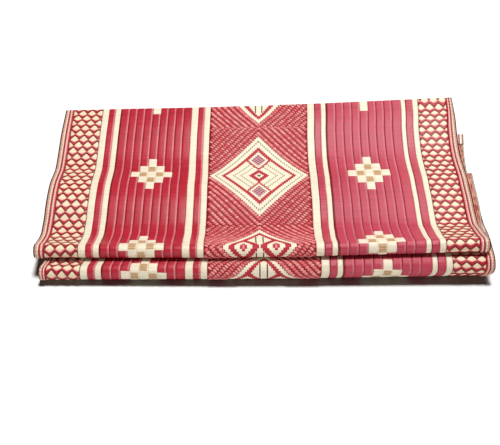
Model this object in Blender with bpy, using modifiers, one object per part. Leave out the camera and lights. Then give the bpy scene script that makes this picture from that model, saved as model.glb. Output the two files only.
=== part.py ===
# A woven plastic-straw camping mat, folded back and forth into four layers.
# Metres, +Z up. The front folds face -Y and the width of the mat runs along X.
# The origin is on the floor under the middle of the folded mat.
import math
from collections import namedtuple

import bmesh
import bpy
from mathutils import Vector

MM = 0.001

WIDTH = 1200 * MM           # selvedge to selvedge
SHEET = 2.4 * MM            # two bonded straw faces and the cords between them
HEM = 46 * MM               # cut end turned over onto the back of the cloth
HEM_GAP = 0.6 * MM          # between the turned strip and the cloth it lies on
STRIPS_ACROSS = 12
STEPS_PER_LOOP = 9
STEPS_PER_TIGHT_FOLD = 5
LONGEST_PIECE = 26 * MM

# A layer's row: how far back a point lies and how high the upper side of the cloth is,
# at the left and at the right selvedge, and how far that layer has slid sideways.
Row = namedtuple("Row", "left_y left_z right_y right_z slide")

# A fold: the centre and outer radius of its round edge at each selvedge, and the slide.
Fold = namedtuple("Fold", "left_y left_z left_r right_y right_z right_r slide")

BOTTOM_END = Row(217, 2.4, 217, 2.4, 15)
BOTTOM_LAYER = (
    Row(150, 2.4, 150, 2.4, 6),
    Row(75, 2.4, 75, 2.4, 0),
    Row(-30, 2.4, -30, 2.4, -1),
    Row(-150, 2.4, -150, 2.4, -1),
    Row(-250, 2.4, -250, 2.4, -1),
)
LOWER_FRONT_FOLD = Fold(-324.5, 20, 20, -324.5, 32, 32, -1)
THIRD_LAYER = (
    Row(-298, 36.5, -298, 60, 0),
    Row(-270, 30.5, -268, 52.5, 2),
    Row(-237, 23.5, -236, 43.5, 4),
    Row(-205, 17, -205, 30.5, 6),
    Row(-172, 12, -175, 18, 7),
    Row(-135, 9, -138, 10.5, 8),
    Row(-90, 7.2, -92, 7.6, 9),
    Row(-40, 6.3, -40, 6.5, 9),
)
BACK_FOLD = Fold(27, 12.4, 8.8, 38, 8, 4.4, 10)
SECOND_LAYER = (
    Row(-6, 25.5, -2, 13.2, 9),
    Row(-46, 34, -48, 15.8, 8),
    Row(-92, 33, -92, 16.8, 7),
    Row(-140, 23.5, -132, 17.5, 5),
    Row(-175, 20.5, -168, 21, 1),
    Row(-205, 25.5, -195, 32.5, -5),
    Row(-235, 33.5, -225, 50.5, -10),
    Row(-262, 37.5, -258, 62, -14),
)
UPPER_FRONT_FOLD = Fold(-280, 54, 18, -303, 83, 19, -15)
TOP_LAYER = (
    Row(-268, 68, -291, 97.5, -15),
    Row(-249, 54.5, -271, 84.5, -15),
    Row(-229, 42.5, -251, 73, -15),
    Row(-208, 32.5, -231, 61, -14),
    Row(-186, 27.5, -211, 48.5, -13),
    Row(-163, 27, -192, 37, -13),
    Row(-140, 30, -170, 28, -12),
    Row(-95, 40, -125, 24, -11),
    Row(-49, 43.5, -79, 24, -10),
    Row(-3, 36.5, -32, 23.5, -10),
    Row(41, 23, 14, 21, -9),
    Row(84, 8, 59, 14, -9),
    Row(107, 6.8, 101, 8, -9),
    Row(132, 6.8, 130, 6.8, -9),
    Row(175, 12.5, 172, 9.5, -8),
    Row(221, 18, 217, 20, -7),
    Row(267, 21, 263, 30, -5),
)
TOP_END = Row(331, 21, 356, 34, -3)

STRAW = (0.58, 0.04, 0.07, 1.0)
STRAW_ROUGHNESS = 0.38


def remove_everything():
    for obj in list(bpy.data.objects):
        bpy.data.objects.remove(obj, do_unlink=True)


def plastic_straw():
    material = bpy.data.materials.new("woven_polypropylene_straw")
    material.use_nodes = True
    shader = material.node_tree.nodes["Principled BSDF"]
    shader.inputs["Base Color"].default_value = STRAW
    shader.inputs["Roughness"].default_value = STRAW_ROUGHNESS
    return material


def middle(row, side):
    """The point of the cloth's middle plane at one selvedge: slide, y and z."""
    if side == "left":
        y, z = row.left_y, row.left_z
    else:
        y, z = row.right_y, row.right_z
    return Vector((row.slide, y, z)) * MM - Vector((0, 0, SHEET / 2))


def rows(table, side):
    return [middle(row, side) for row in table]


def round_edge(fold, side, start, end):
    """Points round a fold's edge, between two angles from the -Y direction up."""
    if side == "left":
        y, z, radius = fold.left_y, fold.left_z, fold.left_r
    else:
        y, z, radius = fold.right_y, fold.right_z, fold.right_r
    radius = radius * MM - SHEET / 2
    points = []
    for step in range(STEPS_PER_LOOP + 1):
        turn = math.radians(start + (end - start) * step / STEPS_PER_LOOP)
        across = Vector((fold.slide * MM, y * MM, z * MM))
        points.append(across + radius * Vector((0, -math.cos(turn), math.sin(turn))))
    return points


def hem(end, inner, over):
    """The turned strip at a cut end, from its edge round to the end of the layer.

    inner is the layer's next point and over is +1 where the strip lies on top."""
    along = (inner - end).normalized()
    away = Vector((0, -along.z, along.y)) * (1 if along.y > 0 else -1) * over
    radius = (SHEET + HEM_GAP) / 2
    centre = end + along * radius + away * radius
    points = [centre + away * radius + along * (HEM - radius)]
    for step in range(STEPS_PER_TIGHT_FOLD + 1):
        turn = math.pi * step / STEPS_PER_TIGHT_FOLD
        points.append(centre + radius * (math.cos(turn) * away - math.sin(turn) * along))
    return points


def section(side):
    """The whole cloth's middle line at one selvedge, from the bottom end to the top end."""
    bottom = rows(BOTTOM_LAYER, side)
    top = rows(TOP_LAYER, side)
    points = hem(middle(BOTTOM_END, side), bottom[0], 1)
    points += bottom
    points += round_edge(LOWER_FRONT_FOLD, side, -90, 90)
    points += rows(THIRD_LAYER, side)
    points += round_edge(BACK_FOLD, side, 270, 90)
    points += rows(SECOND_LAYER, side)
    points += round_edge(UPPER_FRONT_FOLD, side, -90, 112)
    points += top
    points += reversed(hem(middle(TOP_END, side), top[-1], -1))
    return points


def pieces_between(left, right):
    """How many pieces each stretch between two points is cut into, alike on both sides."""
    spans = zip(left, left[1:], right, right[1:])
    return [math.ceil(max((b - a).length, (d - c).length) / LONGEST_PIECE) for a, b, c, d in spans]


def smooth(points, pieces):
    """The points with others between them, on a curve that keeps an even pace."""
    line = [points[0]]
    for index, count in enumerate(pieces):
        start, end = points[index], points[index + 1]
        before = points[max(index - 1, 0)]
        after = points[min(index + 2, len(points) - 1)]
        span = (end - start).length
        leave = (end - before).normalized() * span
        arrive = (after - start).normalized() * span
        for piece in range(1, count + 1):
            t = piece / count
            line.append(start * (2 * t**3 - 3 * t**2 + 1) + leave * (t**3 - 2 * t**2 + t)
                        + end * (3 * t**2 - 2 * t**3) + arrive * (t**3 - t**2))
    return line


def folded_mat(collection):
    """A flat cloth whose rows are carried to the folded section, then given its thickness."""
    left, right = section("left"), section("right")
    pieces = pieces_between(left, right)
    left, right = smooth(left, pieces), smooth(right, pieces)
    last = len(left) - 1
    mesh = bpy.data.meshes.new("woven_mat")
    bm = bmesh.new()
    bmesh.ops.create_grid(bm, x_segments=STRIPS_ACROSS, y_segments=last, size=0.5)
    for vert in bm.verts:
        across = vert.co.x + 0.5
        row = round((vert.co.y + 0.5) * last)
        point = left[row].lerp(right[row], across)
        height = max(point.z, SHEET / 2)
        vert.co = (point.x + (across - 0.5) * WIDTH, point.y, height)
    bm.to_mesh(mesh)
    bm.free()
    mesh.shade_smooth()
    mesh.materials.append(plastic_straw())
    mat = bpy.data.objects.new("woven_mat", mesh)
    collection.objects.link(mat)
    solidify = mat.modifiers.new("sheet", "SOLIDIFY")
    solidify.thickness = SHEET
    solidify.offset = 0.0
    solidify.use_even_offset = True
    return mat


def main():
    remove_everything()
    collection = bpy.data.collections.new("folded_camping_mat")
    bpy.context.scene.collection.children.link(collection)
    folded_mat(collection)


main()
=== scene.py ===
# A camping mat woven from polypropylene straws, folded back and forth into four layers.
# A reverse ply carries a face ply, and the raised floats, net lines and selvedge cords are
# laid on the face. Lengths are millimetres up to the meshes.
import math
from collections import namedtuple
from functools import partial

import bpy
import numpy as np
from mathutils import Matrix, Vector


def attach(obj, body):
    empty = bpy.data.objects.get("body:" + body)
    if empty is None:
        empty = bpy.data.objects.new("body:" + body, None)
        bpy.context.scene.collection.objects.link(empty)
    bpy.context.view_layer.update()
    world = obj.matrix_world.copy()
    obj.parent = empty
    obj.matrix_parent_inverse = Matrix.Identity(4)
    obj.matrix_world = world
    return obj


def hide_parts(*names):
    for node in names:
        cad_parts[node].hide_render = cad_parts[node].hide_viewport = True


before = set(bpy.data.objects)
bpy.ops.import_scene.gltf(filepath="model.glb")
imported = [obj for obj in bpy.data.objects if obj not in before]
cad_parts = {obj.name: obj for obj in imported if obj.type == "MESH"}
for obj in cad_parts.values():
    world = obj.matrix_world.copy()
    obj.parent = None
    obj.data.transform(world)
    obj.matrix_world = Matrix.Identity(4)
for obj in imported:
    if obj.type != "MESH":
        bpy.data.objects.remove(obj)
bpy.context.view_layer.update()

MM = 0.001

# The cloth and its folded section, as the solid has them.
WIDTH = 1200
SHEET = 2.4
HEM = 46
HEM_GAP = 0.6
STEPS_PER_LOOP = 14
STEPS_PER_TIGHT_FOLD = 8
FINE_PIECE = 6  # between rows of the mesh where the cloth shows
COARSE_PIECE = 14  # and inside the stack
HIDDEN_BEHIND = -190  # inside is what lies behind this, under the top layer

Row = namedtuple("Row", "left_y left_z right_y right_z slide")
Fold = namedtuple("Fold", "left_y left_z left_r right_y right_z right_r slide")

BOTTOM_END = Row(217, 2.4, 217, 2.4, 15)
BOTTOM_LAYER = (
    Row(150, 2.4, 150, 2.4, 6),
    Row(75, 2.4, 75, 2.4, 0),
    Row(-30, 2.4, -30, 2.4, -1),
    Row(-150, 2.4, -150, 2.4, -1),
    Row(-250, 2.4, -250, 2.4, -1),
)
LOWER_FRONT_FOLD = Fold(-324.5, 20, 20, -324.5, 32, 32, -1)
THIRD_LAYER = (
    Row(-298, 36.5, -298, 60, 0),
    Row(-270, 30.5, -268, 52.5, 2),
    Row(-237, 23.5, -236, 43.5, 4),
    Row(-205, 17, -205, 30.5, 6),
    Row(-172, 12, -175, 18, 7),
    Row(-135, 9, -138, 10.5, 8),
    Row(-90, 7.2, -92, 7.6, 9),
    Row(-40, 6.3, -40, 6.5, 9),
)
BACK_FOLD = Fold(27, 12.4, 8.8, 38, 8, 4.4, 10)
SECOND_LAYER = (
    Row(-6, 25.5, -2, 13.2, 9),
    Row(-46, 34, -48, 15.8, 8),
    Row(-92, 33, -92, 16.8, 7),
    Row(-140, 23.5, -132, 17.5, 5),
    Row(-175, 20.5, -168, 21, 1),
    Row(-205, 25.5, -195, 32.5, -5),
    Row(-235, 33.5, -225, 50.5, -10),
    Row(-262, 37.5, -258, 62, -14),
)
UPPER_FRONT_FOLD = Fold(-280, 54, 18, -303, 83, 19, -15)
TOP_LAYER = (
    Row(-268, 68, -291, 97.5, -15),
    Row(-249, 54.5, -271, 84.5, -15),
    Row(-229, 42.5, -251, 73, -15),
    Row(-208, 32.5, -231, 61, -14),
    Row(-186, 27.5, -211, 48.5, -13),
    Row(-163, 27, -192, 37, -13),
    Row(-140, 30, -170, 28, -12),
    Row(-95, 40, -125, 24, -11),
    Row(-49, 43.5, -79, 24, -10),
    Row(-3, 36.5, -32, 23.5, -10),
    Row(41, 23, 14, 21, -9),
    Row(84, 8, 59, 14, -9),
    Row(107, 6.8, 101, 8, -9),
    Row(132, 6.8, 130, 6.8, -9),
    Row(175, 12.5, 172, 9.5, -8),
    Row(221, 18, 217, 20, -7),
    Row(267, 21, 263, 30, -5),
)
TOP_END = Row(331, 21, 356, 34, -3)

# The design is counted in net rows from the free end of the top layer.
ROW = 23.1
STRAWS_PER_ROW = 7
FIRST_TOP_ROW = {"left": 26.0, "right": 27.0}
# Rows by length along the cloth, and the row that shows there. The hidden layers take up the
# difference.
SEEN_ROWS = {
    "left": ((0.3, 0.1), (4.0, 4.0), (27.4, 27.4), (28.8, 29.0), (56.6, 53.0), (58.03, 54.58),
             (58.69, 55.95)),
    "right": ((-2.06, -1.46), (0.26, 0.06), (4.0, 4.0), (27.4, 27.4), (29.4, 29.6), (61.0, 51.3),
              (62.6, 53.2), (63.68, 54.58), (64.3, 55.95)),
}
# The folded mat bows: share of the cloth's length, and how far its middle stands forward.
BOW = ((0.0, 3), (0.3, 4), (0.55, 8), (1.0, 8))
# Net rows at the left selvedge, and how far it is drawn in there behind the lower fold.
TUCK = ((45, 0), (54.0, 11), (56.4, 0))
# The stripes of the lower front fold have slid sideways within its edges, by their place.
SLIDE = ((-600, 0), (-572, -9), (-300, -8), (-150, -5), (0, -5), (145, -1), (330, 0), (480, 4),
         (572, 4), (600, 0))
SLIDE_ROWS = ((46, 0), (51, 1))
# The back end is drawn out to both sides: net rows, and by how much at the selvedges.
DRAWN_OUT = {"left": ((-1, 3), (4, 0)), "right": ((-1, 9), (3, 1), (10, 0))}
# The right half leans inwards under the lower fold: net rows, and by how much at the selvedge.
LEAN = ((54.2, 0), (55.4, 5), (56.6, 14), (58.5, 14), (62, 0))
REPEAT = 30.3

# Stripes, by their distance from the middle of the mat.
Stripe = namedtuple("Stripe", "start end")
NET_BORDERS = {"left": Stripe(-572, -482), "right": Stripe(484, 572)}
CREAM_STRIPES = (
    Stripe(-482, -463), Stripe(-442.5, -427), Stripe(-208, -188), Stripe(-168, -151),
    Stripe(145, 166), Stripe(187, 201), Stripe(432.5, 445.5), Stripe(468, 484),
)
CRIMSON_STRIPES = (
    Stripe(-463, -442.5), Stripe(-188, -168), Stripe(166, 187), Stripe(445.5, 468),
)
Field = namedtuple("Field", "start first pitch end")  # its first column and the others
FIELDS = {"left": Field(-427, 28, 23.9, -208), "right": Field(201, 30.5, 24.7, 432.5)}
CENTRE_BAND = Stripe(-151, 145)
BAND_MIDDLE = (CENTRE_BAND.start + CENTRE_BAND.end) / 2
SELVEDGE = 28
SELVEDGES = {"left": Stripe(-600, -572), "right": Stripe(572, 600)}
COLUMNS_PER_FIELD = 9
CROSS_CELL_ROWS = 1.37
FIRST_CROSS_ROW = 11.63
CROSS_REPEAT = 15.0
CROSS_COLUMN = 4  # counted from 0
CROSS_REACH = 2.5  # cells from a cross's middle to its end, across and along together
STREAKS = 5.0  # in each tan cell of a cross
STREAK_SHARE = 0.3  # of each, how much is pale
# Where each starts and is full, in shares of a column's breadth: the pink at its right edge,
# and, off its middle, the dark groove and the pale rim of a cross's cell.
PINK_FROM = (0.70, 0.86)
GROOVE_FROM = (0.44, 0.49)
RIM_FROM = (0.38, 0.43)

# Lozenges: their middle's row, half their width, how far across one row takes their edge, and
# how many rows off their middle the ribs round them reach.
Lozenge = namedtuple("Lozenge", "row half slope reach")
BIG_LOZENGE = Lozenge(11.9, 143, 19.0, 8.95)
EYE_LOZENGE = Lozenge(27.15, 99, 19.0, 6.2)
# The sizes of the big lozenge's dashed lines: its frame's and two chevrons'. Then half a dash,
# and how many rows off its middle the checked lozenges lie.
DASHED_LINES = (127.0, 74.0, 53.0)
HALF_DASH = 1.7
CHECKED_ROW = 3.4
CHECK_SIDE = 5.5
# Inside an eye lozenge: its pointed top and bottom, the bars in them, and the eyes.
EYE_TOP_ROW = 1.93
EYE_TOP_SLOPE = 17.4
EYE_BAR_X = 9.7
EYE_BAR_END = 30.5
EYE_SIDE_X = 43.0

NET_PITCH = 27.5
NET_LINE_EDGE = (0.09, 0.13)  # rows off a net line's middle, where its colour ends
BORDER_LINE = 1.5  # half the dark line along each edge of a border
# By side: where the lines below odd rows dip, how far a net line swings each way as a share of
# a row, and from how far above the next line a scale is crimson, and pink.
Net = namedtuple("Net", "crest swing crimson pink")
NETS = {"left": Net(-529.0, 0.29, 0.38, 0.53), "right": Net(534.0, 0.24, 0.46, 0.60)}

FACE = SHEET / 2
PLY_GAP = 0.05
LINES_ACROSS = 49  # of the reverse ply's mesh
GUIDE_LINES = 81
GUIDE_MARGIN = 4  # how far the guide reaches past the selvedges
GROOVE = 0.75  # how deep the grooves between columns are
STRIPE_GROOVE = 0.45
EDGE = 2.2  # how broad a stripe's rounded edge is, at most
SWELL = 0.35  # how much a stripe's back swells, as a share of its groove
BAND_DOWN = 0.15  # how far the centre band's ground lies under the stripes' backs
BORDER_DOWN = 0.2

# A straw's tone holds for TONE_LENGTH, and is shifted from one straw to the next. The gap
# between straws takes STRAW_GAP of the rise of a straw's back.
TONE_LENGTH = 55.0
TONE_SHIFT = 0.37
STRAW_GAP = 0.45
STRAW_BUMP = 0.6 * MM
STROKE_SLANT = 0.12  # turns of a slanted stroke for each mm across
PINK_EDGE = 2.5  # half the breadth of the pink strokes along a crimson stripe
DARK_EDGE = 1.2
TWISTS_PER_METRE = 110.0
GRAIN_PER_METRE = 900.0
GRAIN_BUMP = 0.4 * MM
# The reverse's spots to a millimetre across and to a row along, and where its red turns tan.
SPOTS_ACROSS = 0.35
SPOTS_ALONG = 1.2
RED_TO_TAN = (0.44, 0.56)

# Colours, sRGB.
CRIMSON = "#B62635"
# The right side's crimson, #C04355, is painted lighter and pinker than the left's: a painted sheen on the
# same crimson straw.
GROUNDS_WITH_PAINTED_SHEEN = {"left": (CRIMSON, 0.28), "right": ("#C04355", 0.36)}  # a field's colour and roughness
CRIMSON_DARK = "#7E1520"
GROUND_RED = "#961E2A"
PINK = "#EB8E97"
CORAL = "#D9585F"
CREAM = "#F2E5CB"
TAN = "#BC9165"
TAN_STREAK = "#D8B88E"
BROWN = "#6E4A40"
DARK_BROWN = "#3E2A26"
TAN_PINK = "#DDA892"
PALE_PINK = "#F3C2B4"
GREY_DOTS = "#74766A"
REVERSE_RED = "#A63C3A"
REVERSE_TAN = "#E3AC92"
REVERSE_PALE = "#E8C6AC"
CHECK = "#6E1A38"
CHECK_LIGHT = "#E0A4AA"
OLIVE_LINE = "#857F58"
NET_CREAM = "#F3DDB9"
NET_LINE = "#74241E"
FLOOR_PALE = "#ABABA9"
FLOOR_PALER = "#B4B4B2"


def linear(hex_colour):
    """An sRGB hex colour as linear RGBA."""
    channels = [int(hex_colour[i:i + 2], 16) / 255 for i in (1, 3, 5)]
    return [c / 12.92 if c <= 0.04045 else ((c + 0.055) / 1.055) ** 2.4 for c in channels] + [1.0]


def feed(value, socket):
    """Gives a socket a value, a hex colour, an output, or a node's first output."""
    if isinstance(value, bpy.types.Node):
        value = next(output for output in value.outputs if output.enabled)
    if isinstance(value, bpy.types.NodeSocket):
        socket.id_data.links.new(value, socket)
    elif value is not None:
        socket.default_value = linear(value) if socket.type == "RGBA" else value


# Short names of the nodes that come up most, each with the settings that it starts from. A name
# in capitals is an operation of the Math node, and any other name is Blender's own.
NODES = {
    "combine": ("ShaderNodeCombineXYZ", {}),
    "map": ("ShaderNodeMapRange", {}),
    "mix": ("ShaderNodeMix", {"data_type": "RGBA"}),
    "move": ("GeometryNodeSetPosition", {}),
    "position": ("GeometryNodeInputPosition", {}),
    "separate": ("ShaderNodeSeparateXYZ", {}),
    "store": ("GeometryNodeStoreNamedAttribute", {"domain": "POINT"}),
    "stored": ("GeometryNodeInputNamedAttribute", {"data_type": "FLOAT"}),
}


def adder(tree):
    """The small function that adds a node to this tree."""
    def add(kind, *inputs, **settings):
        """Adds a node with its settings, feeds its sockets in order, and returns the node."""
        name, usual = NODES.get(kind, (kind, {}))
        if kind.isupper():
            name, usual = "ShaderNodeMath", {"operation": kind}
        node = tree.nodes.new(name)
        for setting, value in {**usual, **settings}.items():
            setattr(node, setting, value)
        sockets = [socket for socket in node.inputs if socket.enabled]
        for socket, value in zip(sockets, inputs):
            feed(value, socket)
        return node
    return add


def new_object(name, data):
    """An object in the scene."""
    made = bpy.data.objects.new(name, data)
    bpy.context.scene.collection.objects.link(made)
    return made


# The folded section


def middle(row, side):
    """The point of the cloth's middle plane at one selvedge: slide, y and z."""
    y, z = (getattr(row, f"{side}_{way}") for way in "yz")
    return np.array((row.slide, y, z - SHEET / 2))


def round_edge(fold, side, start, end):
    """Points round a fold's edge, between two angles from the -Y direction up."""
    y, z, radius = (getattr(fold, f"{side}_{way}") for way in "yzr")
    radius -= SHEET / 2
    turns = np.radians(np.linspace(start, end, STEPS_PER_LOOP + 1))
    return [np.array((fold.slide, y - radius * math.cos(t), z + radius * math.sin(t))) for t in turns]


def hem(end, inner, over):
    """The turned strip at a cut end. over is +1 where the strip lies on top of the layer."""
    along = (inner - end) / np.linalg.norm(inner - end)
    away = np.array((0, -along[2], along[1])) * (1 if along[1] > 0 else -1) * over
    radius = (SHEET + HEM_GAP) / 2
    centre = end + along * radius + away * radius
    points = [centre + away * radius + along * (HEM - radius)]
    for turn in np.linspace(0, math.pi, STEPS_PER_TIGHT_FOLD + 1):
        points.append(centre + radius * (math.cos(turn) * away - math.sin(turn) * along))
    return points


def section(side):
    """The cloth's middle line at one selvedge, and which of its points starts the top layer."""
    bottom, third, second, top = ([middle(row, side) for row in layer]
                                  for layer in (BOTTOM_LAYER, THIRD_LAYER, SECOND_LAYER, TOP_LAYER))
    under = [*hem(middle(BOTTOM_END, side), bottom[0], 1), *bottom,
             *round_edge(LOWER_FRONT_FOLD, side, -90, 90), *third,
             *round_edge(BACK_FOLD, side, 270, 90), *second,
             *round_edge(UPPER_FRONT_FOLD, side, -90, 112)]
    return under + top + hem(middle(TOP_END, side), top[-1], -1)[::-1], len(under)


def pieces_between(left, right, first_top):
    """How many pieces each stretch between two points is cut into, alike on both sides."""
    counts = []
    for index in range(len(left) - 1):
        longest = FINE_PIECE
        if index < first_top - 1 and left[index][1] > HIDDEN_BEHIND:
            longest = COARSE_PIECE
        spans = [np.linalg.norm(side[index + 1] - side[index]) for side in (left, right)]
        counts.append(math.ceil(max(spans) / longest))
    return counts


def smooth(points, pieces):
    """The points with others between them, on a curve that keeps an even pace."""
    line = [points[0]]
    for index, count in enumerate(pieces):
        start, end = points[index], points[index + 1]
        before = points[max(index - 1, 0)]
        after = points[min(index + 2, len(points) - 1)]
        span = np.linalg.norm(end - start)
        leave = (end - before) / np.linalg.norm(end - before) * span
        arrive = (after - start) / np.linalg.norm(after - start) * span
        for t in np.arange(1, count + 1) / count:
            line.append(start * (2 * t**3 - 3 * t**2 + 1) + leave * (t**3 - 2 * t**2 + t)
                        + end * (3 * t**2 - 2 * t**3) + arrive * (t**3 - t**2))
    return np.array(line)


def row_counts(line, first, side):
    """The net row at each point of a line, and the line's length."""
    steps = np.linalg.norm(np.diff(line, axis=0), axis=1)
    length = np.concatenate(([0], np.cumsum(steps)))
    by_length, seen = np.transpose(SEEN_ROWS[side])
    counts = FIRST_TOP_ROW[side] - (length - length[first]) / ROW
    rows_here = np.interp(counts, by_length, seen)
    rows_here += np.minimum(counts - by_length[0], 0) + np.maximum(counts - by_length[-1], 0)
    return rows_here, length[-1]


def cloth_lines():
    """Both selvedges' middle lines, the net rows along them, and the cloth's length."""
    left, first_top = section("left")
    right, _ = section("right")
    pieces = pieces_between(left, right, first_top)
    first = sum(pieces[:first_top])
    left, right = smooth(left, pieces), smooth(right, pieces)
    left_rows, left_length = row_counts(left, first, "left")
    right_rows, right_length = row_counts(right, first, "right")
    bow = np.interp(np.linspace(0, 1, len(left)), *np.transpose(BOW))
    return left, right, left_rows, right_rows, bow, (left_length + right_length) / 2


LEFT, RIGHT, LEFT_ROWS, RIGHT_ROWS, FORWARD, LENGTH = cloth_lines()


def sideways(x_lines, share):
    """How far the stripes stand off their even places, by row line and then by x."""
    slid = np.interp(x_lines, *np.transpose(SLIDE))[None, :]
    slid = slid * np.interp(LEFT_ROWS, *np.transpose(SLIDE_ROWS))[:, None]
    tuck = np.interp(LEFT_ROWS, *np.transpose(TUCK))[:, None] * np.clip(1 - share, 0, 1) ** 2
    from_edge = np.clip(WIDTH / 2 - np.abs(x_lines), 0, SELVEDGE) / SELVEDGE
    to_left = np.clip(1 - 2 * share, 0, 1)
    to_right = np.clip(2 * share - 1, 0, 1)
    drawn = -np.interp(LEFT_ROWS, *np.transpose(DRAWN_OUT["left"]))[:, None] * to_left
    drawn += np.interp(RIGHT_ROWS, *np.transpose(DRAWN_OUT["right"]))[:, None] * to_right
    lean = np.interp(RIGHT_ROWS, *np.transpose(LEAN))[:, None] * to_right
    return slid + tuck + drawn * from_edge - lean


def laid(x_lines):
    """The middle surface for lines at the given distances from the middle of the mat: points,
    directions out of the face, and places on the flat cloth, each by row line and then by x."""
    share = (x_lines / WIDTH + 0.5)[None, :, None]
    points = LEFT[:, None, :] * (1 - share) + RIGHT[:, None, :] * share
    points[..., 0] += x_lines[None, :] + sideways(x_lines, share[..., 0])
    middle_share = np.clip(1 - (2 * share[..., 0] - 1) ** 2, 0, 1) ** 2
    points[..., 1] -= FORWARD[:, None] * middle_share
    points[..., 2] = np.maximum(points[..., 2], SHEET / 2)
    along = np.gradient(points, axis=0)
    out = np.stack((np.zeros(along.shape[:2]), -along[..., 2], along[..., 1]), axis=-1)
    out /= np.linalg.norm(out, axis=-1, keepdims=True)
    counts = LEFT_ROWS[:, None] * (1 - share[..., 0]) + RIGHT_ROWS[:, None] * share[..., 0]
    flat = np.stack((np.broadcast_to(x_lines, counts.shape), -counts * ROW), axis=-1)
    return points, out, flat


# Plies and strips


def quads(down, across):
    """The faces of a grid of points, by row line."""
    return [(a, a + 1, a + across + 1, a + across)
            for start in range(0, (down - 1) * across, across) for a in range(start, start + across - 1)]


def write_mesh(name, vertices, faces, uv, material=None):
    """One piece in metres, with the flat cloth's own coordinates as its UV map."""
    mesh = bpy.data.meshes.new(name)
    mesh.from_pydata((vertices * MM).tolist(), [], faces)
    layer = mesh.uv_layers.new(name="cloth")
    corners = np.empty(len(mesh.loops), dtype=np.int64)
    mesh.loops.foreach_get("vertex_index", corners)
    layer.uv.foreach_set("vector", (uv[corners] * MM).astype(np.float32).ravel())
    if material:
        mesh.materials.append(material)
    mesh.shade_smooth()
    mesh.update()
    return new_object(name, mesh)


def strip_shell(x_lines, high, low):
    """A closed strip of cloth between two heights off the middle surface, either of them
    a number or one height for each x. Returns vertices, faces and flat coordinates."""
    points, out, flat = laid(x_lines)
    down, across = flat.shape[:2]
    sheets = [points + out * np.broadcast_to(height, across)[None, :, None] for height in (high, low)]
    layer = down * across
    grid = np.arange(layer).reshape(down, across)
    rim = np.concatenate((grid[0, :-1], grid[:-1, -1], grid[-1, :0:-1], grid[:0:-1, 0])).tolist()
    faces = quads(down, across)
    faces += [(a + layer, d + layer, c + layer, b + layer) for a, b, c, d in faces]
    faces += [(b, a, a + layer, b + layer) for a, b in zip(rim, rim[1:] + rim[:1])]
    return np.concatenate(sheets).reshape(-1, 3), faces, np.tile(flat.reshape(-1, 2), (2, 1))


def strips(name, shells, material):
    """Several strips as one piece."""
    vertices, faces, flat, start = [], [], [], 0
    for shell_vertices, shell_faces, shell_flat in shells:
        vertices.append(shell_vertices)
        flat.append(shell_flat)
        faces += [tuple(corner + start for corner in face) for face in shell_faces]
        start += len(shell_vertices)
    return write_mesh(name, np.concatenate(vertices), faces, np.concatenate(flat), material)


def crowned(stripe, parts, depth):
    """x lines across one stripe, and the face's height there: full but for its two edges."""
    x_lines = np.linspace(stripe.start, stripe.end, parts + 1)
    edge = min(EDGE, (stripe.end - stripe.start) / 6)
    x_lines = np.sort(np.append(x_lines, (stripe.start + edge, stripe.end - edge)))
    nearest = np.minimum(x_lines - stripe.start, stripe.end - x_lines)
    height = FACE - depth * (1 - np.clip(nearest / edge, 0, 1)) ** 2
    swell = 1 - (2 * (x_lines - stripe.start) / (stripe.end - stripe.start) - 1) ** 2
    return x_lines, height - depth * SWELL * (1 - swell)


def columns(field):
    """The nine weft-faced columns of a field, each a stripe."""
    between = field.start + field.first + field.pitch * np.arange(COLUMNS_PER_FIELD - 1)
    edges = [field.start, *between, field.end]
    return [Stripe(a, b) for a, b in zip(edges, edges[1:])]


# Materials. The woven ones read the flat cloth's coordinates: u across and -v along, in metres.


def straw_material(name, roughness=0.4):
    """An opaque material: itself, the adder for its nodes, and its shader's sockets."""
    material = bpy.data.materials.new(name)
    material.use_nodes = True
    sockets = material.node_tree.nodes["Principled BSDF"].inputs
    # Polypropylene: IOR 1.49, a soft gloss from the drawn, slightly ribbed straw.
    for socket, value in (("IOR", 1.49), ("Specular IOR Level", 0.25), ("Roughness", roughness)):
        sockets[socket].default_value = value
    return material, adder(material.node_tree), sockets


def woven(name, look, gap=0.2, uneven=0.16, rough=0.28):
    """Straws woven across the mat, seven to a net row (3.3 mm). look gives their colour from mm
    off the mat's middle and the net row. Over it lie the shade between neighbours, as deep as
    gap, each straw's own tone and gloss, and the straws' rounded backs as bump."""
    material, add, sockets = straw_material(name)
    flat = add("separate", add("ShaderNodeUVMap", uv_map="cloth")).outputs
    x = add("MULTIPLY", flat["X"], 1 / MM)
    row = add("MULTIPLY", flat["Y"], -1 / MM / ROW)
    straw = add("MULTIPLY", row, STRAWS_PER_ROW)
    number = add("FLOOR", straw)
    stretch = add("ADD", add("DIVIDE", x, TONE_LENGTH), add("MULTIPLY", number, TONE_SHIFT))
    tone = add("ShaderNodeTexWhiteNoise", add("combine", add("FLOOR", stretch), number),
               noise_dimensions="2D")
    back = add("ABSOLUTE", add("SINE", add("MULTIPLY", straw, math.pi)))
    shade = add("map", back, 0.0, STRAW_GAP, 1.0 - gap, 1.0)
    gain = add("map", tone, 0.0, 1.0, 1.0 - uneven, 1.0 + uneven / 2)
    gain = add("MULTIPLY", gain, shade)
    toned = add("mix", 1.0, look(add, x, row), add("combine", gain, gain, gain), blend_type="MULTIPLY")
    feed(toned, sockets["Base Color"])
    feed(add("map", tone, 0.0, 1.0, rough, rough + 0.08), sockets["Roughness"])
    feed(add("ShaderNodeBump", 0.4, STRAW_BUMP, None, back), sockets["Normal"])
    return material


def slanted(add, x, row, per_row):
    """Soft slanted strokes, from 0.25 to 0.85."""
    phase = add("ADD", add("MULTIPLY", row, per_row), add("MULTIPLY", x, STROKE_SLANT))
    stroke = add("SINE", add("MULTIPLY", phase, 2 * math.pi))
    return add("map", stroke, -1.0, 1.0, 0.25, 0.85)


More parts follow.
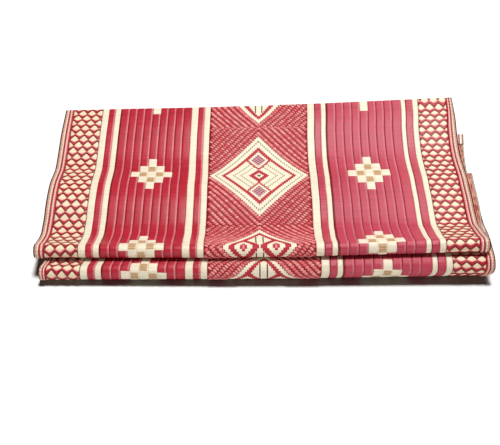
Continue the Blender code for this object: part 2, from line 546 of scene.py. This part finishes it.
def crimson_stripes(add, x, row):
    """Crimson, with pink strokes along the left half's stripes and a dark line on the right's. The right
    half's crimson is painted lighter and pinker, a painted sheen.
    """
    pink = dark = add("LESS_THAN", x, -WIDTH)
    for stripe in CRIMSON_STRIPES:
        if stripe.end < 0:
            pink = add("MAXIMUM", pink, add("COMPARE", x, stripe.end - PINK_EDGE, PINK_EDGE))
        else:
            dark = add("MAXIMUM", dark, add("COMPARE", x, stripe.start + DARK_EDGE, DARK_EDGE))
    pink = add("MULTIPLY", pink, slanted(add, x, row, per_row=2.5))
    right = add("GREATER_THAN", x, 0.0)
    colour = add("mix", right, GROUNDS_WITH_PAINTED_SHEEN["left"][0], GROUNDS_WITH_PAINTED_SHEEN["right"][0])
    return add("mix", dark, add("mix", pink, colour, PINK), CRIMSON_DARK)


def crimson_field(field, ground, add, x, row):
    """Crimson columns with pink edge straws, dark grooves and a stepped cross every 15 rows."""
    column = add("DIVIDE", add("SUBTRACT", x, field.start + field.first - field.pitch), field.pitch)
    column = add("MAXIMUM", column, 0.0)
    place = add("FRACT", column)
    not_last = add("LESS_THAN", column, COLUMNS_PER_FIELD - 0.9)
    pink = add("MULTIPLY", add("map", place, *PINK_FROM, 0.0, 1.0), not_last)
    colour = add("mix", add("MULTIPLY", pink, slanted(add, x, row, per_row=3.0)), ground, PINK)
    edge = add("ABSOLUTE", add("SUBTRACT", place, 0.5))
    groove = add("MULTIPLY", add("map", edge, *GROOVE_FROM, 0.0, 1.0), not_last)
    colour = add("mix", groove, colour, CRIMSON_DARK)
    cells, steps = cross_steps(add, add("FLOOR", column), row)
    streak = add("FRACT", add("MULTIPLY", cells, STREAKS))
    tan = add("mix", add("LESS_THAN", streak, STREAK_SHARE), TAN, TAN_STREAK)
    rim = add("MAXIMUM", add("ABSOLUTE", add("SUBTRACT", cells, add("ROUND", cells))), edge)
    tan = add("mix", add("map", rim, *RIM_FROM, 0.0, 1.0), tan, CREAM)
    cross = add("mix", add("COMPARE", steps, 1.0, 0.5), CREAM, tan)
    return add("mix", add("LESS_THAN", steps, CROSS_REACH), colour, cross)


def rows_past(add, row, first, repeat):
    """Rows past the middle of the nearest of the motifs that come every repeat rows."""
    past = add("FLOORED_MODULO", add("SUBTRACT", row, first - repeat / 2), repeat)
    return add("SUBTRACT", past, repeat / 2)


def cross_steps(add, column, row):
    """Cells, one column wide and 32 mm tall, past the middle of a field's nearest cross, and how
    many whole columns and cells that is. The cross reaches two such steps."""
    cells = add("DIVIDE", rows_past(add, row, FIRST_CROSS_ROW, CROSS_REPEAT), CROSS_CELL_ROWS)
    across = add("ABSOLUTE", add("SUBTRACT", column, CROSS_COLUMN))
    return cells, add("ADD", across, add("ABSOLUTE", add("ROUND", cells)))


def spread(add, across, rows_off, slope, middle_row=0.0, middle_x=0.0):
    """The size of the lozenge about (middle_x, middle_row) that passes here, in mm across."""
    if middle_row:
        rows_off = add("ABSOLUTE", add("SUBTRACT", rows_off, middle_row))
    if middle_x:
        across = add("ABSOLUTE", add("SUBTRACT", across, middle_x))
    return add("MULTIPLY_ADD", rows_off, slope, across)


def nested(add, size, colour, *bands):
    """Paints one colour over another, each wherever size is under its limit."""
    for limit, band in bands:
        colour = add("mix", add("LESS_THAN", size, limit), colour, band)
    return colour


def lozenges(add, x, row):
    """A dark red ground under the floats, and the big lozenges and eye lozenges."""
    # The lozenges' edges step with every second straw.
    steps = add("FLOOR", add("MULTIPLY", row, STRAWS_PER_ROW / 2))
    straw_row = add("DIVIDE", add("ADD", steps, 0.5), STRAWS_PER_ROW / 2)
    across = add("ABSOLUTE", add("SUBTRACT", x, BAND_MIDDLE))
    checks = add("ShaderNodeTexChecker", add("combine", x, add("MULTIPLY", row, ROW)), CHECK, CHECK_LIGHT,
                 1 / CHECK_SIDE)

    off, off_eye = (add("ABSOLUTE", rows_past(add, straw_row, lozenge.row, REPEAT))
                    for lozenge in (BIG_LOZENGE, EYE_LOZENGE))
    size = spread(add, across, off, BIG_LOZENGE.slope)
    checked = spread(add, across, off, BIG_LOZENGE.slope, middle_row=CHECKED_ROW)
    frame_line, *chevrons = (add("COMPARE", size, line, HALF_DASH) for line in DASHED_LINES)
    inner = add("mix", add("MAXIMUM", *chevrons), CREAM, OLIVE_LINE)
    inner = nested(add, size, inner, (30.0, CRIMSON), (14.0, CREAM), (6.0, DARK_BROWN))
    inner = nested(add, checked, inner, (38.0, CRIMSON), (30.0, CREAM), (21.0, checks))
    big = add("mix", frame_line, CREAM, GREY_DOTS)
    big = nested(add, size, big, (109.0, CRIMSON), (97.0, inner))

    size_eye = spread(add, across, off_eye, EYE_LOZENGE.slope)
    top = spread(add, across, off_eye, EYE_TOP_SLOPE, middle_row=EYE_TOP_ROW)
    side = spread(add, across, off_eye, EYE_LOZENGE.slope, middle_x=EYE_SIDE_X)
    bars = add("COMPARE", across, EYE_BAR_X, HALF_DASH)
    bars = add("MULTIPLY", bars, add("LESS_THAN", top, EYE_BAR_END))
    eye = nested(add, size_eye, CREAM, (85.0, CRIMSON))
    eye = add("mix", bars, nested(add, top, eye, (33.0, CREAM)), DARK_BROWN)
    eye = nested(add, side, eye, (26.0, CREAM), (12.0, CRIMSON), (5.0, PINK), (2.5, DARK_BROWN))
    colour = nested(add, size, GROUND_RED, (BIG_LOZENGE.half, big))
    return nested(add, size_eye, colour, (EYE_LOZENGE.half, eye))


def pointed(add, wave):
    """A cosine drawn to points, as a net line of floats turns."""
    sharp = add("MULTIPLY_ADD", add("MULTIPLY", wave, wave), 0.2, 0.8)
    return add("MULTIPLY", sharp, wave)


def net_scales(border, net, add, x, row):
    """Scales between the net lines: cream at the top, pink and crimson towards the line below."""
    turn = add("MULTIPLY", add("SUBTRACT", x, net.crest), 2 * math.pi / NET_PITCH)
    # A net line runs midway between two rows' middles, and swings the other way each time.
    odd = add("FLOORED_MODULO", add("FLOOR", row), 2.0)
    way = add("MULTIPLY_ADD", odd, 2 * net.swing, -net.swing)
    swing = add("MULTIPLY", pointed(add, add("COSINE", turn)), way)
    past = add("SUBTRACT", add("FRACT", row), add("ADD", swing, 0.5))
    whole = add("MULTIPLY_ADD", swing, -2.0, 1.0)
    over = add("GREATER_THAN", past, 0.0)
    # Positive in the middle of a scale and negative at its corners, where the crimson thins.
    side = add("MULTIPLY", add("MULTIPLY_ADD", over, -2.0, 1.0), swing)
    to_next = add("SUBTRACT", add("MULTIPLY", over, whole), past)
    to_next = add("MULTIPLY_ADD", side, -0.5, to_next)
    colour = add("mix", add("map", to_next, net.crimson, net.pink, 0.8, 0.0), NET_CREAM, PINK)
    colour = add("mix", add("map", side, -net.swing, -0.35 * net.swing, 0.9, 0.0), colour, CORAL)
    colour = add("mix", add("map", to_next, net.crimson - 0.1, net.crimson, 1.0, 0.0), colour, CRIMSON)
    colour = add("mix", add("map", add("ABSOLUTE", past), *NET_LINE_EDGE, 1.0, 0.0), colour, NET_LINE)
    for edge in border:
        colour = add("mix", add("COMPARE", x, edge, BORDER_LINE), colour, NET_LINE)
    return colour


def selvedge(add, x, row):
    """Tan, crimson and cream lines along the bound edge, under the cords, and a painted shadow in dark
    brown along the outermost edge.
    """
    inward = add("SUBTRACT", WIDTH / 2, add("ABSOLUTE", x))
    # The dark brown band within 3.4 mm of the edge is a painted shadow.
    return nested(add, inward, CRIMSON, (23.5, PALE_PINK), (18.0, CRIMSON_DARK), (13.0, CREAM),
                  (8.0, TAN_PINK), (3.4, DARK_BROWN))


def reverse_mottle(add, x, row):
    """The face's colours change places on the reverse, so its ground is tan and pink."""
    spots = add("combine", add("MULTIPLY", x, SPOTS_ACROSS), add("MULTIPLY", row, SPOTS_ALONG))
    mottle = add("ShaderNodeTexNoise", spots, 1.0, 3.0)
    ground = add("mix", add("map", mottle, *RED_TO_TAN, 0.0, 1.0), REVERSE_RED, REVERSE_TAN)
    inward = add("SUBTRACT", WIDTH / 2, add("ABSOLUTE", x))
    return nested(add, inward, ground, (5.0, BROWN), (3.8, REVERSE_PALE), (1.4, BROWN))


def float_straw(name, base, light):
    """Raised floats, each its own tone between the base colour and the light one."""
    material, add, sockets = straw_material(name, 0.36)
    tint = add("ShaderNodeAttribute", attribute_name="tint").outputs["Fac"]
    feed(add("mix", add("MULTIPLY", tint, 0.6), base, light), sockets["Base Color"])
    grain = add("ShaderNodeTexNoise", add("ShaderNodeTexCoord").outputs["Object"], GRAIN_PER_METRE, 2.0)
    feed(add("ShaderNodeBump", 0.15, GRAIN_BUMP, None, grain), sockets["Normal"])
    return material


def cord_straw(name, colour):
    material, _, sockets = straw_material(name)
    feed(colour, sockets["Base Color"])
    return material


def twisted_cord(name, first, second):
    """A two-colour twisted cord. The twist follows the cord's own length and girth."""
    material, add, sockets = straw_material(name)
    along, around = (add("ShaderNodeAttribute", attribute_name=attribute).outputs["Fac"]
                     for attribute in ("along", "around"))
    turn = add("ADD", add("MULTIPLY", along, TWISTS_PER_METRE), around)
    wave = add("SINE", add("MULTIPLY", turn, 2 * math.pi))
    colour = add("mix", add("map", wave, -0.4, 0.4, 0.0, 1.0), first, second)
    feed(colour, sockets["Base Color"])
    feed(add("ShaderNodeBump", 0.5, STRAW_BUMP, None, wave), sockets["Normal"])
    return material


def painted_floor():
    material, add, sockets = straw_material("matt_pale_floor", 0.9)
    sockets["Specular IOR Level"].default_value = 0.0
    grain = add("ShaderNodeTexNoise", add("ShaderNodeTexCoord").outputs["Object"], 3.0, 2.0)
    colour = add("mix", add("MULTIPLY", grain, 0.3), FLOOR_PALE, FLOOR_PALER)
    feed(colour, sockets["Base Color"])
    return material


# Node trees for what repeats. Each works on the flat cloth, x across and -y along it, and
# is then carried onto the folded face.


def new_tree(name, numbers, counts):
    """A geometry tree with inputs for the cloth, a material, and the numbers and counts that are
    named here. Returns the adder for its nodes, and its inputs."""
    tree = bpy.data.node_groups.new(name, "GeometryNodeTree")
    kinds = {"Cloth": "Object", "Material": "Material"}
    kinds.update(dict.fromkeys(numbers.split(", "), "Float"))
    kinds.update(dict.fromkeys(counts.split(", "), "Int"))
    for way in ("OUTPUT", "INPUT"):
        tree.interface.new_socket("Geometry", in_out=way, socket_type="NodeSocketGeometry")
    for label, kind in kinds.items():
        tree.interface.new_socket(label, in_out="INPUT", socket_type=f"NodeSocket{kind}")
    add = adder(tree)
    return add, add("NodeGroupInput").outputs


def onto_cloth(add, geometry, given):
    """Carries flat geometry onto the folded face: its place on the flat cloth gives the point
    and the direction out of it, and its height is kept along that direction."""
    surface = add("GeometryNodeObjectInfo", given["Cloth"]).outputs["Geometry"]
    flat = add("stored", "cloth", data_type="FLOAT_VECTOR")
    away = add("stored", "away", data_type="FLOAT_VECTOR")
    here = add("position")
    height = add("separate", here).outputs["Z"]
    point, out = (add("GeometryNodeSampleUVSurface", surface, value, flat, here, data_type="FLOAT_VECTOR")
                  for value in (here, away))
    off_cloth = add("FunctionNodeBooleanMath", point.outputs["Is Valid"], operation="NOT")
    lift = add("ShaderNodeVectorMath", out, height, operation="SCALE")
    place = add("ShaderNodeVectorMath", point, lift, operation="ADD")
    geometry = add("GeometryNodeDeleteGeometry", geometry, off_cloth)
    return add("move", geometry, None, place)


def finish_tree(add, geometry, given):
    """Presses what lies under the fold flat on the floor, gives the pieces their material, and
    returns the tree."""
    place = add("separate", add("position")).outputs
    height = add("MAXIMUM", place["Z"], 0.0)
    geometry = add("move", geometry, None, add("combine", place["X"], place["Y"], height))
    smooth_faces = add("GeometryNodeSetShadeSmooth", geometry, None, True)
    painted = add("GeometryNodeSetMaterial", smooth_faces, None, given["Material"])
    return add("NodeGroupOutput", painted).id_data


def flat_floats(add, points, keep, angle, size, seed, segments, rings):
    """Straw floats on the kept points of the flat cloth, turned by an angle, each with a tint."""
    float_form = add("GeometryNodeMeshUVSphere", segments, rings, 1.0)
    half = add("ShaderNodeVectorMath", size, (MM / 2, MM / 2, MM), operation="MULTIPLY")
    turn = add("FunctionNodeEulerToRotation", add("combine", 0.0, 0.0, angle))
    floats = add("GeometryNodeInstanceOnPoints", points, keep, float_form.outputs["Mesh"], None, None,
                 turn, half)
    tint = add("FunctionNodeRandomValue", 0.0, 1.0, None, seed)
    floats = add("store", floats, None, "tint", tint, domain="INSTANCE")
    return add("GeometryNodeRealizeInstances", floats)


def lattice(add, columns_wanted, rows_wanted):
    """A grid of points whose x and y count up from 0. Returns it and both counts."""
    last_x = add("SUBTRACT", columns_wanted, 1.0)
    last_y = add("SUBTRACT", rows_wanted, 1.0)
    grid = add("GeometryNodeMeshGrid", last_x, last_y, columns_wanted, rows_wanted)
    place = add("separate", add("position")).outputs
    x = add("MULTIPLY_ADD", last_x, 0.5, place["X"])
    y = add("MULTIPLY_ADD", last_y, 0.5, place["Y"])
    return grid.outputs["Mesh"], x, y


def put_flat(add, points, x, row):
    """Moves points to x millimetres across and to a net row of the flat cloth."""
    flat_x = add("MULTIPLY", x, MM)
    flat_y = add("MULTIPLY", row, -ROW * MM)
    return add("move", points, None, add("combine", flat_x, flat_y, 0.0))


def chevron_tree():
    """Ribs of floats, side by side from a lozenge's edges out to the edges of the band."""
    add, given = new_tree(
        "chevron_ribs",
        "Middle Row, Half Rows, Slope, Reach Rows, Band Middle, Band Half, First Row, Last Row, "
        "Step Rows, Length, Breadth, Bead Length, Bead Breadth, Height", "Ribs, Floats, Seed")
    grid, rib, place = lattice(add, given["Ribs"], given["Floats"])
    last = add("MULTIPLY_ADD", given["Floats"], -0.5, 0.5)
    off = add("MULTIPLY", add("ADD", place, last), given["Step Rows"])
    away = add("ABSOLUTE", off)
    ring = add("ADD", add("ADD", given["Half Rows"], 0.5), rib)
    across = add("MULTIPLY", add("SUBTRACT", ring, away), given["Slope"])
    row = add("ADD", given["Middle Row"], off)
    # The ribs of both sides cross a little on the middle line, where they would leave a hole.
    kept = add("GREATER_THAN", across, -PAST_TIP)
    for value, limit in ((across, given["Band Half"]), (away, given["Reach Rows"]),
                         (row, given["Last Row"]), (given["First Row"], row)):
        kept = add("MULTIPLY", kept, add("LESS_THAN", value, limit))
    joined = add("GeometryNodeJoinGeometry")
    for side in (-1.0, 1.0):
        x = add("MULTIPLY_ADD", across, side, given["Band Middle"])
        run = add("MULTIPLY", add("SIGN", off), side)
        angle = add("ARCTAN2", ROW, add("MULTIPLY", run, given["Slope"]))
        # Straws float across the ribs that run this way, and so stand apart there as beads.
        beaded = add("GREATER_THAN", run, 0.0)
        points = grid
        for label, value in (("kept", kept), ("angle", angle), ("beaded", beaded)):
            points = add("store", points, None, label, value)
        points = put_flat(add, points, x, row)
        keep = add("FunctionNodeCompare", add("stored", "kept"), 0.5)
        beaded = add("stored", "beaded")
        length, breadth = (add("map", beaded, 0.0, 1.0, given[label], given[f"Bead {label}"])
                           for label in ("Length", "Breadth"))
        size = add("combine", length, breadth, given["Height"])
        half = flat_floats(add, points, keep, add("stored", "angle"), size, given["Seed"], 8, 5)
        feed(half, joined.inputs[0])
    return finish_tree(add, onto_cloth(add, joined, given), given)


def edge_float_tree():
    """Slanted floats along the edges of a field's columns, left out where a cross covers them."""
    add, given = new_tree(
        "edge_floats", "First X, Pitch, First Row, Step Rows, Slant, Length, Breadth, Height",
        "Lines, Floats, Seed")
    grid, line, place = lattice(add, given["Lines"], given["Floats"])
    x = add("MULTIPLY_ADD", line, given["Pitch"], given["First X"])
    row = add("MULTIPLY_ADD", place, given["Step Rows"], given["First Row"])
    _, steps = cross_steps(add, line, row)
    marked = add("store", grid, None, "steps", steps)
    keep = add("FunctionNodeCompare", add("stored", "steps"), CROSS_REACH)
    size = add("combine", given["Length"], given["Breadth"], given["Height"])
    floats = flat_floats(add, put_flat(add, marked, x, row), keep, given["Slant"], size, given["Seed"],
                         6, 4)
    return finish_tree(add, onto_cloth(add, floats, given), given)


def tube(add, line, radius):
    """A round cord on a curve that lies on the cloth, with its girth as an attribute."""
    profile = add("GeometryNodeCurvePrimitiveCircle", 7, add("MULTIPLY", radius, MM)).outputs["Curve"]
    girth = add("GeometryNodeSplineParameter").outputs["Factor"]
    profile = add("store", profile, None, "around", girth)
    return add("GeometryNodeCurveToMesh", line, profile, None, True)


def net_tree():
    """Net lines across a border, each swinging the other way from the one before."""
    add, given = new_tree("net_lines", "From X, To X, Crest X, First Row, Pitch, Swing, Radius, Height",
                          "Lines, Points")
    height = add("MULTIPLY", given["Height"], MM)
    ends = [add("combine", add("MULTIPLY", given[x], MM), 0.0, height) for x in ("From X", "To X")]
    line = add("GeometryNodeCurvePrimitiveLine", *ends)
    line = add("GeometryNodeResampleCurve", line, None, given["Points"])
    first = add("MULTIPLY", given["First Row"], -ROW * MM)
    starts = add("GeometryNodeMeshLine", given["Lines"], add("combine", 0.0, first, 0.0),
                 (0.0, -ROW * MM, 0.0))
    odd = add("MODULO", add("GeometryNodeInputIndex"), 2.0)
    starts = add("store", starts, None, "swing", add("MULTIPLY_ADD", odd, -2.0, 1.0))
    lines = add("GeometryNodeInstanceOnPoints", starts, None, line)
    lines = add("GeometryNodeRealizeInstances", lines)
    here = add("separate", add("position"))
    metres = add("MULTIPLY", given["Crest X"], MM)
    turn = add("DIVIDE", add("SUBTRACT", here, metres), given["Pitch"])
    wave = add("COSINE", add("MULTIPLY", turn, 2 * math.pi / MM))
    signed = add("MULTIPLY", pointed(add, wave), add("stored", "swing"))
    rows_off = add("MULTIPLY", signed, given["Swing"])
    offset = add("combine", 0.0, add("MULTIPLY", rows_off, -ROW * MM), 0.0)
    lines = add("move", lines, None, None, offset)
    cords = tube(add, onto_cloth(add, lines, given), given["Radius"])
    return finish_tree(add, cords, given)


def cord_tree():
    """A cord along the cloth at one distance from its middle."""
    add, given = new_tree("selvedge_cord", "X, First Row, Last Row, Radius, Height", "Points")
    x = add("MULTIPLY", given["X"], MM)
    height = add("MULTIPLY", given["Height"], MM)
    ends = [add("combine", x, add("MULTIPLY", given[row], -ROW * MM), height)
            for row in ("First Row", "Last Row")]
    line = add("GeometryNodeCurvePrimitiveLine", *ends)
    line = add("GeometryNodeResampleCurve", line, None, given["Points"])
    length = add("GeometryNodeSplineParameter").outputs["Length"]
    line = add("store", line, None, "along", length)
    cord = tube(add, onto_cloth(add, line, given), given["Radius"])
    return finish_tree(add, cord, given)


def cloth_guide():
    """The folded face as an open surface, which the node trees lay their pieces on."""
    x_lines = np.linspace(-WIDTH / 2 - GUIDE_MARGIN, WIDTH / 2 + GUIDE_MARGIN, GUIDE_LINES)
    points, out, flat = laid(x_lines)
    faces = quads(*flat.shape[:2])
    guide = write_mesh("cloth_guide", (points + out * FACE).reshape(-1, 3), faces, flat.reshape(-1, 2))
    away = guide.data.attributes.new("away", "FLOAT_VECTOR", "POINT")
    away.data.foreach_set("vector", out.reshape(-1).astype(np.float32))
    return guide


def grow(name, tree, **values):
    """Runs a node tree and keeps what it makes as a plain mesh piece."""
    piece = new_object(name, bpy.data.meshes.new(name))
    modifier = piece.modifiers.new("grow", "NODES")
    modifier.node_group = tree
    sockets = {item.name.replace(" ", "_").lower(): item.identifier
               for item in tree.interface.items_tree if item.in_out == "INPUT"}
    for label, value in values.items():
        modifier[sockets[label]] = value
    made = piece.evaluated_get(bpy.context.evaluated_depsgraph_get())
    mesh = bpy.data.meshes.new_from_object(made)
    piece.modifiers.remove(modifier)
    piece.data = mesh
    mesh.name = name
    return piece


def flat_strip(name, stripe, parts, down, material):
    """One strip of the face ply, this far under the backs of the stripes."""
    x_lines = np.linspace(stripe.start, stripe.end, parts + 1)
    return strips(name, [strip_shell(x_lines, FACE - down, 0.0)], material)


def plies():
    """The reverse ply and the strips of the face ply."""
    across = np.linspace(-WIDTH / 2, WIDTH / 2, LINES_ACROSS)
    reverse = strips("reverse_ply", [strip_shell(across, -PLY_GAP, -SHEET / 2)],
                     woven("woven_pp_straw_reverse", reverse_mottle, gap=0.3))
    cream = woven("woven_pp_straw_cream", lambda *place: CREAM, gap=0.32, uneven=0.08)
    crimson = woven("woven_pp_straw_crimson", crimson_stripes)
    face = []
    for name, stripes, material in (("cream_stripes", CREAM_STRIPES, cream),
                                    ("crimson_stripes", CRIMSON_STRIPES, crimson)):
        shells = [strip_shell(*crowned(stripe, 4, STRIPE_GROOVE), 0.0) for stripe in stripes]
        face.append(strips(name, shells, material))
    for side, field in FIELDS.items():
        # The right field's ground colour carries a painted sheen.
        ground, rough = GROUNDS_WITH_PAINTED_SHEEN[side]
        look = partial(crimson_field, field, ground)
        material = woven(f"woven_pp_field_{side}", look, uneven=0.12, rough=rough)
        shells = [strip_shell(*crowned(column, 5, GROOVE), 0.0) for column in columns(field)]
        face.append(strips(f"crimson_field_{side}", shells, material))
    band = woven("woven_pp_straw_centre_band", lozenges, gap=0.16, uneven=0.08, rough=0.5)
    face.append(flat_strip("lozenge_band", CENTRE_BAND, 30, BAND_DOWN, band))
    for side, border in NET_BORDERS.items():
        look = partial(net_scales, border, NETS[side])
        material = woven(f"woven_pp_net_border_{side}", look, gap=0.16, uneven=0.08)
        face.append(flat_strip(f"net_border_{side}", border, 13, BORDER_DOWN, material))
    bound = woven("woven_pp_straw_selvedge", selvedge)
    for side, edge in SELVEDGES.items():
        face.append(flat_strip(f"selvedge_{side}", edge, 6, BORDER_DOWN, bound))
    return reverse, face


# Rows that show, and floats lie on: the top layer with its front fold, and the lower fold.
SHOWING = {"top": (-2.0, 30.0), "fold": (48.0, 57.6)}
CORD_ROWS = {"top": (-4.0, 30.0), "fold": (48.0, 58.1)}
NET_LINES = {"top": (-2.5, 33), "fold": (47.5, 11)}  # the first one's row, and how many
FLOAT_STEP = 2 / STRAWS_PER_ROW  # rows from one rib float to the next: two straws
EDGE_FLOAT_STEP = 0.36
# Floats in mm. A rib's are shorter and broader where it is a row of beads.
RIB_FLOAT = {"length": 9.6, "breadth": 11.6, "bead_length": 7.4, "bead_breadth": 13.9, "height": 1.9}
EDGE_FLOAT = {"length": 6.5, "breadth": 1.7, "height": 0.5, "slant": math.radians(62)}
BAND_MARGIN = 4.0  # from the last rib floats to the edge of the centre band
BEFORE_GROOVE = 3.4  # from an edge float's middle to the groove
RIBS = 10  # on each side of a lozenge, more than the band has room for
PAST_TIP = 3.5  # how far the ribs of both sides cross on the band's middle line
CORD_STEP = 5
# Cords along each selvedge: distance in from the edge, radius, material and twist colours.
Cord = namedtuple("Cord", "inward radius name first second")
CORDS = (
    Cord(5.7, 1.6, "pp_cord_tan", TAN_PINK, "#B98270"),
    Cord(10.4, 1.9, "pp_cord_cream", CREAM, "#E9BCAE"),
    Cord(15.5, 1.8, "pp_cord_crimson", "#8E2028", "#B5363F"),
    Cord(20.7, 2.1, "pp_cord_pink_cream", "#F8D3C2", "#EFA9A2"),
)


def ribs(guide):
    """Ribs of floats round every lozenge that shows."""
    tree = chevron_tree()
    straw = float_straw("pp_straw_float_coral", "#DC5E61", "#F9B9B1")
    made = []
    for part, (low, high) in SHOWING.items():
        for kind, lozenge in (("big", BIG_LOZENGE), ("eye", EYE_LOZENGE)):
            for turn in range(-1, 2):
                middle_row = lozenge.row + REPEAT * turn
                if middle_row + lozenge.reach < low or middle_row - lozenge.reach > high:
                    continue
                made.append(grow(
                    f"ribs_{part}_{kind}_{turn + 1}", tree, cloth=guide, material=straw,
                    middle_row=middle_row, half_rows=lozenge.half / lozenge.slope, slope=lozenge.slope,
                    reach_rows=lozenge.reach, band_middle=BAND_MIDDLE,
                    band_half=CENTRE_BAND.end - BAND_MIDDLE - BAND_MARGIN, first_row=low, last_row=high,
                    ribs=RIBS, floats=2 * math.ceil(lozenge.reach / FLOAT_STEP) + 1, step_rows=FLOAT_STEP,
                    seed=7 + turn, **RIB_FLOAT))
    return made


def edge_floats(guide):
    """Pink straws that slant across the groove at the right edge of every column."""
    tree = edge_float_tree()
    # The right field's edge straws are the same pink straw, painted darker: a painted shade beside
    # columns that catch the sheen.
    straws = {"left": float_straw("pp_straw_float_pink", "#DE7482", "#F6BFC2"),
              "right": float_straw("pp_straw_float_rose", "#A8323F", "#D4808A")}
    return [grow(f"edge_floats_{part}_{side}", tree, cloth=guide, material=straws[side],
                 first_x=field.start + field.first - BEFORE_GROOVE, pitch=field.pitch,
                 lines=COLUMNS_PER_FIELD - 1, first_row=low, floats=int((high - low) / EDGE_FLOAT_STEP),
                 step_rows=EDGE_FLOAT_STEP, seed=3, **EDGE_FLOAT)
            for side, field in FIELDS.items() for part, (low, high) in SHOWING.items()]


def net_lines(guide):
    """The raised dark lines of both net borders."""
    tree = net_tree()
    straw = cord_straw("pp_straw_net_line", NET_LINE)
    return [grow(f"net_lines_{part}_{side}", tree, cloth=guide, material=straw,
                 from_x=border.start + 1.0, to_x=border.end - 1.0, crest_x=NETS[side].crest,
                 first_row=first, lines=lines, points=37, pitch=NET_PITCH, swing=NETS[side].swing,
                 radius=2.0, height=-0.95)
            for side, border in NET_BORDERS.items() for part, (first, lines) in NET_LINES.items()]


def selvedge_cords(guide):
    """The twisted cords along both selvedges."""
    tree = cord_tree()
    straws = [twisted_cord(cord.name, cord.first, cord.second) for cord in CORDS]
    return [grow(f"cord_{part}_{side}_{number}", tree, cloth=guide, material=straws[number],
                 x=way * (WIDTH / 2 - cord.inward), first_row=first, last_row=last,
                 points=int((last - first) * ROW / CORD_STEP), radius=cord.radius, height=0.0)
            for side, way in (("left", -1), ("right", 1)) for number, cord in enumerate(CORDS)
            for part, (first, last) in CORD_ROWS.items()]


# The studio, in metres, watts and degrees. The suns stand behind, turned to the right.
LENS = 70.5
CAMERA_PLACE = (-0.0732, -2.0046, 2.0042)
CAMERA_TARGET = (-0.0410, -0.1355, 0.0)
ROOM_LIGHT = 0.03
Sun = namedtuple("Sun", "power elevation to_the_right")
KEY = Sun(3.1, 76, 25)
FLOOR_KEY = Sun(9.0, 66, 14)
SUN_SIZE = 14
Softbox = namedtuple("Softbox", "power place target width height")
SHEEN = Softbox(58, (1.7, 2.6, 2.8), (0.35, 0, 0), 1.0, 1.0)
FILL = Softbox(32, (-0.3, -3.4, 0.8), (0, -0.3, 0.03), 2.6, 0.3)


def aimed(name, data, place, target):
    """Puts a light or a camera in the scene, turned to its target."""
    thing = new_object(name, data)
    thing.location = place
    thing.rotation_mode = "QUATERNION"
    thing.rotation_quaternion = (Vector(target) - Vector(place)).to_track_quat("-Z", "Y")
    return thing


def camera():
    lens = bpy.data.cameras.new("camera")
    lens.lens = LENS
    lens.sensor_width = 36.0
    bpy.context.scene.camera = aimed("camera", lens, CAMERA_PLACE, CAMERA_TARGET)


def softbox(name, box):
    lamp = bpy.data.lights.new(name, "AREA")
    lamp.shape = "RECTANGLE"
    lamp.size, lamp.size_y = box.width, box.height
    lamp.energy = box.power
    return aimed(name, lamp, box.place, box.target)


def soft_sun(name, sun):
    lamp = bpy.data.lights.new(name, "SUN")
    lamp.energy = sun.power
    lamp.angle = math.radians(SUN_SIZE)
    light = new_object(name, lamp)
    light.rotation_euler = (math.radians(sun.elevation - 90), 0, math.radians(-sun.to_the_right))
    return light


def light_only(light, receivers):
    """Keeps a light off everything but the receivers."""
    lit = bpy.data.collections.new(f"lit_by_{light.name}")
    for receiver in receivers:
        lit.objects.link(receiver)
    light.light_linking.receiver_collection = lit


def studio():
    """A pale floor with a sun of its own, and a sheen box. Returns the mat's own lights, a key
    from behind and to the right and a low fill from the front."""
    scene = bpy.context.scene
    scene.view_settings.view_transform = "Standard"
    scene.world = bpy.data.worlds.new("pale_room")
    scene.world.use_nodes = True
    room = scene.world.node_tree.nodes["Background"].inputs
    room["Color"].default_value = (1, 1, 1, 1)
    room["Strength"].default_value = ROOM_LIGHT
    softbox("sheen_softbox", SHEEN)
    bpy.ops.mesh.primitive_plane_add(size=24, location=(0, 0, -0.6 * MM))
    floor = bpy.context.object
    floor.name = "floor"
    floor.data.materials.append(painted_floor())
    light_only(soft_sun("floor_sun", FLOOR_KEY), [floor])
    return soft_sun("key_sun", KEY), softbox("front_softbox", FILL)


def main():
    camera()
    for_the_mat = studio()
    guide = cloth_guide()
    reverse, face = plies()
    raised = [*ribs(guide), *edge_floats(guide), *net_lines(guide), *selvedge_cords(guide)]
    bpy.data.objects.remove(guide, do_unlink=True)
    pieces = [reverse, *face, *raised]
    for light in for_the_mat:
        light_only(light, pieces)
    for piece in pieces:
        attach(piece, "root")
        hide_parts("woven_mat")


main()
